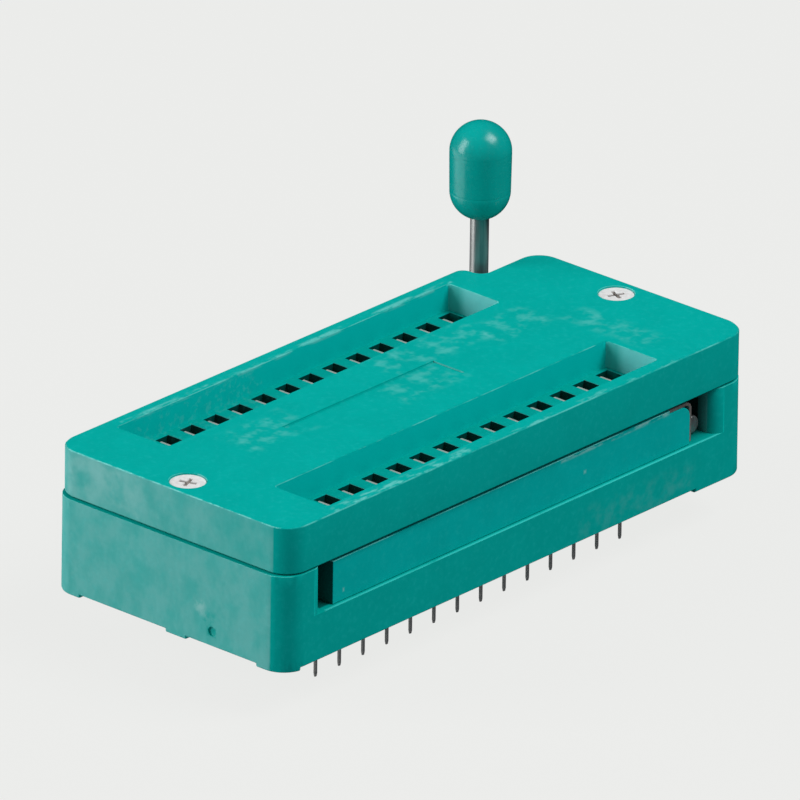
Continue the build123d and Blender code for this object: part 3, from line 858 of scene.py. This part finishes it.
@dataclass
class Housing:
    """The two body mouldings and the comb slide between them.

    Edges are told apart by the places of their middles. Points nearer to the middle than skin_y and within
    window_x are inside the socket. The ledge, panel and pocket values frame edges that stay sharp.
    """

    edge_mm: float = 0.05
    low_edge_mm: float = 0.12
    low_edge_height: float = 0.3
    skin_y: float = 10.9
    window_x: Span = (-20.2, 22.5)
    ledge_height: float = 3.83
    ledge_band: float = 0.15
    ledge_middle: float = 1.35
    ledge_half: float = 20.5
    panel_x: Span = (-10.3, 6.2)
    panel_y: float = 1.6
    opening_height: float = 9.3
    top_height: float = 11.0
    slide_edge_mm: float = 0.08
    slide_foot_mm: float = 0.02
    slide_foot_height: float = 4.1
    pocket_half: float = 18.2

    def build(self) -> None:
        """Dresses base, cover and slide in moulded plastic with softened edges."""
        mouldings = (
            ("base", BASE_PLASTIC, Body.HOUSING, Slot.BODY, self.base_widths),
            ("cover", COVER_PLASTIC, Body.HOUSING, Slot.BODY, self.cover_widths),
            ("slide", SLIDE_PLASTIC, Body.SLIDER, Slot.SLIDE, self.slide_widths),
        )
        for node, finish, body, slot, widths in mouldings:
            piece = place_piece(node + "_moulding", moulding_copy(node), finish.make(), body)
            soften(piece, widths, self.low_edge_mm)
            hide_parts(node)

    def base_widths(self, middle: np.ndarray) -> np.ndarray:
        """Wide roundings along the bottom and the feet, narrow ones elsewhere, none on hidden edges.

        Args:
            middle: Middles of the edges.

        Returns:
            Width of each edge's rounding.
        """
        x, y, z = middle[:, 0], np.abs(middle[:, 1]), middle[:, 2]
        width = np.where(z < self.low_edge_height, self.low_edge_mm, self.edge_mm)
        inside = (x > self.window_x[0]) & (x < self.window_x[1]) & (y < self.skin_y)
        past_window = np.abs(x - self.ledge_middle) > self.ledge_half
        ledge_ends = past_window & (np.abs(z - self.ledge_height) < self.ledge_band)
        return np.where(inside | ledge_ends, 0.0, width)

    def cover_widths(self, middle: np.ndarray) -> np.ndarray:
        """Narrow roundings on the outside, none on the openings, the panel and the underside.

        Args:
            middle: Middles of the edges.

        Returns:
            Width of each edge's rounding.
        """
        x, y, z = middle[:, 0], np.abs(middle[:, 1]), middle[:, 2]
        panel = (x > self.panel_x[0]) & (x < self.panel_x[1]) & (y < self.panel_y) & (z > self.top_height)
        inside = (z < self.opening_height) & (y < self.skin_y) & (np.abs(x) < self.window_x[1])
        return np.where(inside | panel, 0.0, self.edge_mm)

    def slide_widths(self, middle: np.ndarray) -> np.ndarray:
        """Narrow roundings on the outside, finer ones along the foot, none in the pockets.

        Args:
            middle: Middles of the edges.

        Returns:
            Width of each edge's rounding.
        """
        inside = (np.abs(middle[:, 1]) < self.skin_y) & (np.abs(middle[:, 0]) < self.pocket_half)
        width = np.where(middle[:, 2] < self.slide_foot_height, self.slide_foot_mm, self.slide_edge_mm)
        return np.where(inside, 0.0, width)


@dataclass
class Drive:
    """The bent steel plate on the slide and the cam that pushes it."""

    edge_mm: float = 0.03

    def build(self) -> None:
        """Dresses plate and cam in steel."""
        finish = PLATE_STEEL.make()
        parts = (("drive_plate", Body.SLIDER, Slot.PLATE), ("lever_cam", Body.LEVER, Slot.LEVER))
        for node, body, slot in parts:
            piece = place_piece(node + "_steel", moulding_copy(node), finish, body)
            soften(piece, self.widths, self.edge_mm)
            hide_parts(node)

    def widths(self, middle: np.ndarray) -> np.ndarray:
        """The same rounding on every edge."""
        return np.full(len(middle), self.edge_mm)


@dataclass
class Lever:
    """The bent rod and the knob on its arm."""

    rod_radius: float = 0.7
    bend_radius: float = 1.6
    end_round: float = 0.18
    knob_length: float = 7.6
    knob_top_radius: float = 2.30
    knob_low_radius: float = 2.26
    knob_roof: float = 2.6
    bore_clearance: float = 0.01
    groove_depths: Span = (0.02, 0.01)
    groove_width: float = 0.05
    knob_rows: int = 260
    knob_columns: int = 96
    dome_points: int = 60
    end_length: float = 0.5
    end_rings: int = 7
    shaft_rings: int = 40
    bend_rings: int = 25
    arm_rings: int = 40
    rod_columns: int = 48
    sharp_deg: float = 50.0

    def build(self) -> None:
        """Makes the rod and the knob."""
        self.build_rod()
        self.build_knob()

    def build_rod(self) -> None:
        """Carries a circle along the rod's path: across the socket, round the bend and up the arm.

        A point is path + radius * (cos a * X + sin a * N), where N is square to the path in its own plane.
        """
        low, high = (np.array(corner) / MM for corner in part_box("lever_rod"))
        axis_x = (low[0] + high[0]) / 2
        shaft_z = low[2] + self.rod_radius
        arm_y = high[1] - self.rod_radius
        turn_y = arm_y - self.bend_radius
        turn_z = shaft_z + self.bend_radius
        end = low[1] + np.linspace(0.0, self.end_round, self.end_rings)
        shaft = np.concatenate([end, np.linspace(low[1] + self.end_length, turn_y, self.shaft_rings)])
        bend = np.linspace(0.0, math.pi / 2, self.bend_rings)[1:]
        arm = np.linspace(turn_z, high[2], self.arm_rings)[1:]
        bend_y = turn_y + self.bend_radius * np.sin(bend)
        bend_z = turn_z - self.bend_radius * np.cos(bend)
        path_y = np.concatenate([shaft, bend_y, np.full(len(arm), arm_y)])
        path_z = np.concatenate([np.full(len(shaft), shaft_z), bend_z, arm])
        tilt = np.concatenate([np.zeros(len(shaft)), bend, np.full(len(arm), math.pi / 2)])
        drop = np.clip(self.end_round - (path_y - low[1]), 0.0, None)
        radius = self.rod_radius - self.end_round + np.sqrt(np.clip(self.end_round**2 - drop**2, 0.0, None))
        angle = np.linspace(0.0, 2 * math.pi, self.rod_columns, endpoint=False)
        sideways = radius[:, None] * np.cos(angle)
        upright = radius[:, None] * np.sin(angle)
        x = axis_x + sideways
        y = path_y[:, None] - upright * np.sin(tilt)[:, None]
        z = path_z[:, None] + upright * np.cos(tilt)[:, None]
        mesh = ring_mesh("lever_rod_wire", [np.stack([x, y, z], axis=-1)], self.sharp_deg)
        piece = place_piece("lever_rod_wire", mesh, ROD_STEEL.make(), Body.LEVER)
        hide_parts("lever_rod")

    def knob_profile(self, top: float) -> np.ndarray:
        """Half outline of the knob: bore, lower dome, flank and upper dome, evenly spaced along the line.

        The domes are arcs of circles, and each groove takes a bell curve off the radius at a dome's foot.

        Args:
            top: Height of the knob's top.

        Returns:
            Radius and height of each point, from the bore's roof to the top.
        """
        bottom = top - self.knob_length
        bore = self.rod_radius + self.bore_clearance
        lower_centre = bottom + self.knob_low_radius
        upper_centre = top - self.knob_top_radius
        start = -math.acos(bore / self.knob_low_radius)
        lower = np.linspace(start, 0.0, self.dome_points)
        upper = np.linspace(0.0, math.pi / 2, self.dome_points)
        radius = np.concatenate([
            [0.0, bore], self.knob_low_radius * np.cos(lower), self.knob_top_radius * np.cos(upper),
        ])
        height = np.concatenate([
            [top - self.knob_roof] * 2, lower_centre + self.knob_low_radius * np.sin(lower),
            upper_centre + self.knob_top_radius * np.sin(upper),
        ])
        run = np.concatenate([[0.0], np.cumsum(np.hypot(np.diff(radius), np.diff(height)))])
        even = np.union1d(np.linspace(0.0, run[-1], self.knob_rows), run[:3])
        profile = np.stack([np.interp(even, run, radius), np.interp(even, run, height)], axis=-1)
        outside = even > run[2]
        for joint, depth in zip((lower_centre, upper_centre), self.groove_depths):
            groove = np.exp(-(((profile[:, 1] - joint) / self.groove_width) ** 2))
            profile[:, 0] -= np.where(outside, depth * groove, 0.0)
        profile[-1, 0] = 0.0
        return profile

    def build_knob(self) -> None:
        """Turns the knob's outline about the arm: a point is (r * cos a, r * sin a, height)."""
        low, high = (np.array(corner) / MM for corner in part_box("lever_knob"))
        profile = self.knob_profile(high[2])
        angle = np.linspace(0.0, 2 * math.pi, self.knob_columns, endpoint=False)
        x = (low[0] + high[0]) / 2 + profile[:, :1] * np.cos(angle)
        y = (low[1] + high[1]) / 2 + profile[:, :1] * np.sin(angle)
        z = np.repeat(profile[:, 1:], self.knob_columns, axis=1)
        mesh = ring_mesh("lever_knob_capsule", [np.stack([x, y, z], axis=-1)], self.sharp_deg)
        piece = place_piece("lever_knob_capsule", mesh, KNOB_PLASTIC.make(), Body.LEVER)
        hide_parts("lever_knob")


@dataclass
class CoverScrews:
    """The two flush screws with their cross recess and thread."""

    head_radius: float = 1.35
    head_land: float = 0.15
    head_cone: float = 0.6
    shank_radius: float = 0.8
    edge_round: float = 0.08
    cross_length: float = 1.4
    cross_width: float = 0.34
    cross_depth: float = 0.3
    cross_wall: float = 0.06
    thread_depth: float = 0.1
    thread_pitch: float = 0.6
    turns_deg: Span = (20.0, 65.0)
    face_rings: int = 60
    rim_rings: int = 5
    shank_rings: int = 90
    columns: int = 120
    sharp_deg: float = 40.0

    def build(self) -> None:
        """Makes both screws, turned as the driver left them."""
        low, high = (np.array(corner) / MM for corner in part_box("cover_screws"))
        finish = SCREW_STEEL.make()
        places = (low[0] + self.head_radius, high[0] - self.head_radius)
        for side, x, turn in zip(("left", "right"), places, self.turns_deg):
            grid = self.screw_grid(math.radians(turn), high[2], low[2])
            grid += np.array([x, (low[1] + high[1]) / 2, 0.0])
            mesh = ring_mesh(f"cover_screw_{side}", [grid], self.sharp_deg)
            piece = place_piece(f"cover_screw_{side}", mesh, finish, Body.HOUSING)
            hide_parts("cover_screws")

    def screw_grid(self, turn: float, head: float, tip: float) -> np.ndarray:
        """Rings of one screw: head face with its cross recess, rim, cone, threaded shank and tip.

        The head's height falls by the recess depth where a point lies within either bar of the cross. The
        thread is a wave of the shank's radius along the height and once round for each pitch.

        Args:
            turn: Angle of the cross.
            head: Height of the head's face.
            tip: Height of the shank's end.

        Returns:
            The rings in millimetres about the screw's own axis.
        """
        face = np.linspace(0.0, self.head_radius - self.edge_round, self.face_rings)
        rim = np.linspace(0.0, math.pi / 2, self.rim_rings + 1)[1:]
        rim_radius = self.head_radius - self.edge_round * (1 - np.sin(rim))
        rim_height = head - self.edge_round * (1 - np.cos(rim))
        cone_top = head - self.head_land
        cone_low = cone_top - self.head_cone
        shank = np.linspace(cone_low, tip, self.shank_rings)
        shank_radius = np.full(self.shank_rings, self.shank_radius)
        radius = np.concatenate([face, rim_radius, [self.head_radius], shank_radius, [0.0]])
        height = np.concatenate([np.full(self.face_rings, head), rim_height, [cone_top], shank, [tip]])
        angle = np.linspace(0.0, 2 * math.pi, self.columns, endpoint=False)
        x = radius[:, None] * np.cos(angle)
        y = radius[:, None] * np.sin(angle)
        z = np.repeat(height[:, None], self.columns, axis=1)
        across = np.abs(x * math.cos(turn) + y * math.sin(turn))
        along = np.abs(y * math.cos(turn) - x * math.sin(turn))
        inside = np.minimum(across, along) - self.cross_width / 2
        beyond = np.maximum(across, along) - self.cross_length / 2
        wall = np.clip(-np.maximum(inside, beyond) / self.cross_wall, 0.0, 1.0)
        recess = self.cross_depth * wall * wall * (3 - 2 * wall)
        z[:self.face_rings] -= recess[:self.face_rings]
        wave = 0.5 + 0.5 * np.cos(2 * math.pi * shank[:, None] / self.thread_pitch + angle)
        ease = np.clip((cone_low - shank) / self.thread_pitch, 0.0, 1.0)[:, None]
        thin = 1 - self.thread_depth / self.shank_radius * wave * ease
        shank_start = self.face_rings + self.rim_rings + 1
        threaded = slice(shank_start, shank_start + self.shank_rings)
        x[threaded] *= thin
        y[threaded] *= thin
        return np.stack([x, y, z], axis=-1)


@dataclass
class ContactRows:
    """The 28 fork contacts: bent strips with two tines and a tail."""

    ways: int = 14
    strip: float = 0.2
    corner: float = 0.03
    tine_spread: float = 0.565
    tine_bulge: float = 0.05
    tine_pinch: float = 0.05
    tine_flare: float = 0.08
    foot_width: float = 3.4
    tip_width: float = 3.3
    foot_bend: float = 0.3
    tip_bend: float = 0.8
    bridge_height: float = 1.85
    deck_height: float = 3.83
    bulge_height: float = 5.52
    moving_tip: float = 7.3
    pinch_below_tip: float = 0.6
    tail_width: float = 0.24
    tail_point: float = 0.25
    bend_rings: int = 6
    sharp_deg: float = 40.0

    def build(self) -> None:
        """Makes every contact of both rows from one strip and one tail."""
        finish = CONTACT_STRIP.make()
        for row in ("front", "rear"):
            for way in range(1, self.ways + 1):
                self.build_contact(f"contact_{row}_{way:02d}", finish)

    def build_contact(self, node: str, finish: bpy.types.Material) -> None:
        """Makes one contact in the place of its CAD node.

        Args:
            node: Name of the CAD node.
            finish: Material of the strip.
        """
        low, high = (np.array(corner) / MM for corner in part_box(node))
        place = np.array([low[0] + self.tine_spread + self.strip / 2, (low[1] + high[1]) / 2, 0.0])
        grids = [self.fork_grid(high[2]) + place, self.tail_grid(low[2]) + place]
        mesh = ring_mesh(node + "_strip", grids, self.sharp_deg)
        piece = place_piece(node + "_strip", mesh, finish, Body.HOUSING)
        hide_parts(node)

    def fork_grid(self, fixed_tip: float) -> np.ndarray:
        """Rings of the fork: a thin rectangle with eased corners, carried along the bent path of the strip.

        Args:
            fixed_tip: Height of the fixed tine's tip.

        Returns:
            The rings in millimetres about the contact's own axis.
        """
        bridge = self.bridge_height + self.strip / 2
        points = np.array([
            (-self.tine_spread, fixed_tip),
            (-self.tine_spread, bridge),
            (self.tine_spread, bridge),
            (self.tine_spread + self.tine_bulge, self.bulge_height),
            (self.tine_spread - self.tine_pinch, self.moving_tip - self.pinch_below_tip),
            (self.tine_spread + self.tine_flare, self.moving_tip),
        ])
        radii = (self.foot_bend, self.foot_bend, self.tip_bend, self.tip_bend)
        path = rounded_path(points, radii, self.bend_rings)
        tangent = np.gradient(path, axis=0)
        tangent /= np.linalg.norm(tangent, axis=1)[:, None]
        width = np.interp(path[:, 1], [self.deck_height, fixed_tip], [self.foot_width, self.tip_width])
        thick, wide = self.eased_rectangle(self.strip, width)
        x = path[:, :1] - tangent[:, 1:] * thick
        z = path[:, 1:] + tangent[:, :1] * thick
        return np.stack([x, wide, z], axis=-1)

    def tail_grid(self, tip: float) -> np.ndarray:
        """Rings of the tail: a slim eased rectangle that narrows to a blunt point.

        Args:
            tip: Height of the tail's tip.

        Returns:
            The rings in millimetres about the contact's own axis.
        """
        height = np.array([self.bridge_height + self.strip / 2, tip + self.tail_point, tip])
        width = np.array([self.tail_width, self.tail_width, self.tail_width / 2])
        thick, wide = self.eased_rectangle(self.strip, width)
        return np.stack([thick, wide, np.repeat(height[:, None], thick.shape[1], axis=1)], axis=-1)

    def eased_rectangle(self, thickness: float, width: np.ndarray) -> tuple[np.ndarray, np.ndarray]:
        """Eight points round a rectangle with cut corners, for each ring.

        Args:
            thickness: Size across the strip.
            width: Size along the other way, for each ring.

        Returns:
            Offsets across the strip and along its width, one row for each ring.
        """
        cut = self.corner
        half = thickness / 2
        across = np.array([half, half, half - cut, cut - half, -half, -half, cut - half, half - cut])
        side = np.array([-1, 1, 1, 1, 1, -1, -1, -1])
        inset = np.array([cut, cut, 0, 0, cut, cut, 0, 0])
        wide = side * (width[:, None] / 2 - inset)
        return np.repeat(across[None, :], len(width), axis=0), wide


def rounded_path(points: np.ndarray, radii: tuple[float, ...], steps: int) -> np.ndarray:
    """Path through corner points with each inner corner rounded by an arc.

    The arc leaves each leg at radius * tan(half the turn) from the corner, and its points are the circle's.

    Args:
        points: Corners of the path.
        radii: Radius of each inner corner.
        steps: Points along each arc.

    Returns:
        Points of the rounded path.
    """
    pieces = [points[:1]]
    for before, corner, after, radius in zip(points[:-2], points[1:-1], points[2:], radii):
        inward = (corner - before) / np.linalg.norm(corner - before)
        outward = (after - corner) / np.linalg.norm(after - corner)
        turn = math.acos(float(np.clip(inward @ outward, -1.0, 1.0)))
        side = math.copysign(1.0, inward[0] * outward[1] - inward[1] * outward[0])
        start = corner - inward * radius * math.tan(turn / 2)
        normal = side * np.array([-inward[1], inward[0]])
        angle = np.linspace(0.0, turn, steps)[:, None]
        pieces.append(start + normal * radius * (1 - np.cos(angle)) + inward * radius * np.sin(angle))
    pieces.append(points[-1:])
    return np.concatenate(pieces)


@dataclass(frozen=True)
class SoftBox:
    """One soft studio light."""

    name: str
    direction: Place
    width_mm: float
    height_mm: float
    distance_mm: float
    watts: float

    def build(self, aim: Vector) -> None:
        """Hangs the light in its direction, turned to the object.

        Args:
            aim: Point that the light is turned to.
        """
        data = bpy.data.lights.new(self.name, "AREA")
        data.shape = "RECTANGLE"
        data.size = self.width_mm * MM
        data.size_y = self.height_mm * MM
        data.energy = self.watts
        light = bpy.data.objects.new(self.name, data)
        away = Vector(self.direction).normalized()
        light.location = aim + away * self.distance_mm * MM
        light.rotation_mode = "QUATERNION"
        light.rotation_quaternion = away.to_track_quat("Z", "Y")
        bpy.context.scene.collection.objects.link(light)


@dataclass
class Studio:
    """Camera at the photograph's angle, soft boxes, and a pale floor that the tails stand on."""

    azimuth_deg: float = -48.577
    elevation_deg: float = 23.658
    roll_deg: float = 0.8
    distance_mm: float = 1182.47
    aim_mm: Place = (2.0, 1.03, 9.52)
    lens_mm: float = 738.65
    sensor_mm: float = 36.0
    near_mm: float = 50.0
    far_mm: float = 20000.0
    left_box: SoftBox = SoftBox(
        "left_box", (-0.72, 0.57, 0.34), width_mm=260.0, height_mm=460.0, distance_mm=600.0, watts=2.4,
    )
    top_box: SoftBox = SoftBox(
        "top_box", (0.275, -0.504, 0.82), width_mm=300.0, height_mm=300.0, distance_mm=600.0, watts=2.26,
    )
    floor_size_mm: float = 6000.0
    floor_colour: Colour = (0.84, 0.845, 0.83)
    floor_glow: float = 0.95
    sky: float = 0.25
    sky_colour: Colour = (0.95, 1.0, 1.08)
    card_low_mm: Span = (-120.0, 27.0)
    card_high_mm: Span = (0.0, 190.0)
    card_above_floor_mm: float = 0.05
    card_glow: float = 1.8

    def build(self) -> None:
        """Sets up camera, lights, surroundings, floor and the card behind the socket."""
        aim = Vector(self.aim_mm) * MM
        self.build_camera(aim)
        for box in (self.left_box, self.top_box):
            box.build(aim)
        self.build_surroundings()
        floor = self.build_floor()
        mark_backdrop(floor, self.build_card(floor.data.vertices[0].co.z))
        bpy.context.scene.view_settings.view_transform = "Standard"

    def build_camera(self, aim: Vector) -> None:
        """Stands the camera at its angle and distance from the aim, with the photograph's slight roll.

        Args:
            aim: Point in the middle of the picture.
        """
        azimuth = math.radians(self.azimuth_deg)
        elevation = math.radians(self.elevation_deg)
        roll = math.radians(self.roll_deg)
        reach = math.cos(elevation)
        back = Vector((math.sin(azimuth) * reach, -math.cos(azimuth) * reach, math.sin(elevation)))
        level = Vector((math.cos(azimuth), math.sin(azimuth), 0.0))
        rise = back.cross(level)
        right = level * math.cos(roll) + rise * math.sin(roll)
        up = rise * math.cos(roll) - level * math.sin(roll)
        data = bpy.data.cameras.new("photo_camera")
        data.sensor_width = self.sensor_mm
        data.lens = self.lens_mm
        data.clip_start = self.near_mm * MM
        data.clip_end = self.far_mm * MM
        camera = bpy.data.objects.new("photo_camera", data)
        bpy.context.scene.collection.objects.link(camera)
        place = Matrix.Translation(aim + back * self.distance_mm * MM)
        camera.matrix_world = place @ Matrix((right, up, back)).transposed().to_4x4()
        bpy.context.scene.camera = camera

    def build_surroundings(self) -> None:
        """Gives the room an even pale light that reflections don't show."""
        world = bpy.data.worlds.new("studio_room")
        world.use_nodes = True
        background = world.node_tree.nodes["Background"]
        background.inputs["Color"].default_value = (*self.sky_colour, 1.0)
        background.inputs["Strength"].default_value = self.sky
        bpy.context.scene.world = world
        world.cycles_visibility.glossy = False

    def build_floor(self) -> bpy.types.Object:
        """Lays the floor under the lowest point, mostly bright by itself so that shadows stay faint.

        Returns:
            The floor's object.
        """
        half = self.floor_size_mm * MM / 2
        floor = self.lay_sheet("floor", (-half, -half), (half, half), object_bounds()[0].z, self.floor_glow)
        floor.visible_diffuse = False
        floor.visible_glossy = False
        return floor

    def build_card(self, floor_z: float) -> bpy.types.Object:
        """Lays a card behind the socket that only reflections show: it lights the left of rod and knob.

        Args:
            floor_z: Height of the floor.

        Returns:
            The card's object.
        """
        low = tuple(part * MM for part in self.card_low_mm)
        high = tuple(part * MM for part in self.card_high_mm)
        card = self.lay_sheet("card", low, high, floor_z + self.card_above_floor_mm * MM, self.card_glow)
        card.visible_camera = False
        card.visible_diffuse = False
        card.visible_shadow = False
        return card

    def lay_sheet(self, name: str, low: Span, high: Span, z: float, glow: float) -> bpy.types.Object:
        """Makes one level sheet of the floor's colour.

        Args:
            name: Name of the sheet.
            low: Least corner from above, in metres.
            high: Greatest corner from above, in metres.
            z: Height of the sheet.
            glow: Share of the brightness that is the sheet's own.

        Returns:
            The sheet's object.
        """
        mesh = bpy.data.meshes.new(name)
        corners = [(low[0], low[1], z), (high[0], low[1], z), (high[0], high[1], z), (low[0], high[1], z)]
        mesh.from_pydata(corners, [], [(0, 1, 2, 3)])
        material = bpy.data.materials.new(f"pale_{name}")
        material.use_nodes = True
        shader = material.node_tree.nodes["Principled BSDF"]
        dull = tuple(part * max(0.0, 1 - glow) for part in self.floor_colour)
        shader.inputs["Base Color"].default_value = (*dull, 1.0)
        shader.inputs["Roughness"].default_value = 1.0
        shader.inputs["Specular IOR Level"].default_value = 0.0
        shader.inputs["Emission Color"].default_value = (*self.floor_colour, 1.0)
        shader.inputs["Emission Strength"].default_value = glow
        mesh.materials.append(material)
        sheet = bpy.data.objects.new(name, mesh)
        bpy.context.scene.collection.objects.link(sheet)
        return sheet


def main() -> None:
    """Builds every sub-assembly and the studio."""
    logging.basicConfig(level=logging.INFO, format="%(message)s")
    for part in (Housing(), Drive(), Lever(), CoverScrews(), ContactRows(), Studio()):
        part.build()
        LOG.info("%s is built", type(part).__name__)


if __name__ == "__main__":
    main()
